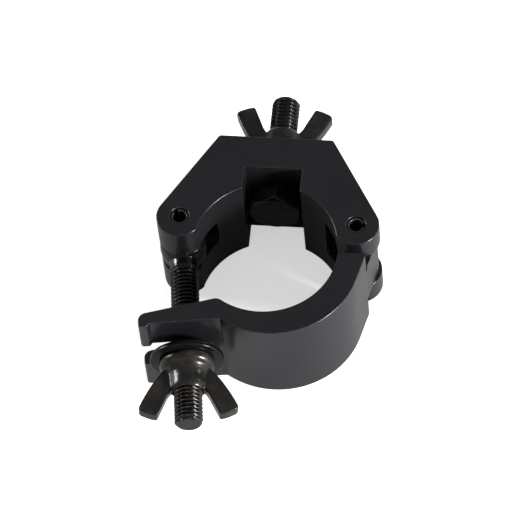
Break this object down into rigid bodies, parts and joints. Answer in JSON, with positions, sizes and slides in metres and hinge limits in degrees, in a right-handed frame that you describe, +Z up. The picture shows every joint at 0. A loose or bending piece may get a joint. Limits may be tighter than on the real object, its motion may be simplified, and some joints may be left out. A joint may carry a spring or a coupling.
{
  "type": "pipe clamp",
  "caption": "Half-coupler pipe clamp: a saddle and hinged jaw close on a pipe, held by a swing bolt and wing nut, with a mounting bolt and wing nut on its back.",
  "frame": {"origin": "on the clamp's lower side face, at the middle of the saddle's bridge between the pocket floor and the mounting face; the pipe's axis is parallel to +Z through x 0, y -0.0382", "axes": "+Z up along the pipe's axis with the clamp lying on its side, +Y out of the mounting face along the mounting bolt, +X towards the jaw's hinge"},
  "size_m": [0.0794, 0.1328, 0.04],
  "materials": {
    "anodised_body": "black anodised, fine satin",
    "black_fastener": "glossy black zinc plate",
    "black_washer": "black zinc plate, semi-gloss",
    "spring_pin": "blackened spring steel with rubbed ends"
  },
  "bodies": {
    "saddle_body": {"saddle": "anodised_body", "hinge_roll_pin": "spring_pin", "swing_bolt_roll_pin": "spring_pin", "mounting_bolt": "black_fastener"},
    "jaw_body": {"jaw": "anodised_body"},
    "swing_bolt_body": {"swing_bolt": "black_fastener"},
    "clamp_washer_body": {"clamp_washer": "black_washer"},
    "clamp_nut_body": {"clamp_wing_nut": "black_fastener"},
    "mounting_washer_body": {"mounting_washer": "black_washer"},
    "mounting_nut_body": {"mounting_wing_nut": "black_fastener"}
  },
  "joints": [
    {"name": "jaw_hinge", "type": "hinge", "parent": "saddle_body", "child": "jaw_body", "pos_m": [0.0307, -0.0276, 0.02], "axis": [0, 0, 1], "range_deg": [0, 15]},
    {"name": "swing_bolt_pivot", "type": "hinge", "parent": "saddle_body", "child": "swing_bolt_body", "pos_m": [-0.0307, -0.0276, 0.02], "axis": [0, 0, 1], "range_deg": [-125, 0]},
    {"name": "clamp_washer_travel", "type": "slide", "parent": "swing_bolt_body", "child": "clamp_washer_body", "axis": [0.1288, -0.9917, 0], "range_m": [0, 0.0208]},
    {"name": "clamp_nut_spin", "type": "hinge", "parent": "clamp_washer_body", "child": "clamp_nut_body", "pos_m": [-0.02426, -0.07718, 0.02], "axis": [0.1288, -0.9917, 0], "continuous": true},
    {"name": "mounting_washer_travel", "type": "slide", "parent": "saddle_body", "child": "mounting_washer_body", "axis": [0, 1, 0], "range_m": [0, 0.0136]},
    {"name": "mounting_nut_spin", "type": "hinge", "parent": "mounting_washer_body", "child": "mounting_nut_body", "pos_m": [0, 0.0122, 0.02], "axis": [0, 1, 0], "range_deg": [0, 3240]}
  ],
  "couplings": [
    {"joint": "swing_bolt_pivot", "follows": "jaw_hinge", "ratio": -8.3333},
    {"joint": "clamp_washer_travel", "follows": "jaw_hinge", "m_per_rad": 0.0791},
    {"joint": "mounting_washer_travel", "follows": "mounting_nut_spin", "m_per_rad": 0.00023873}
  ]
}
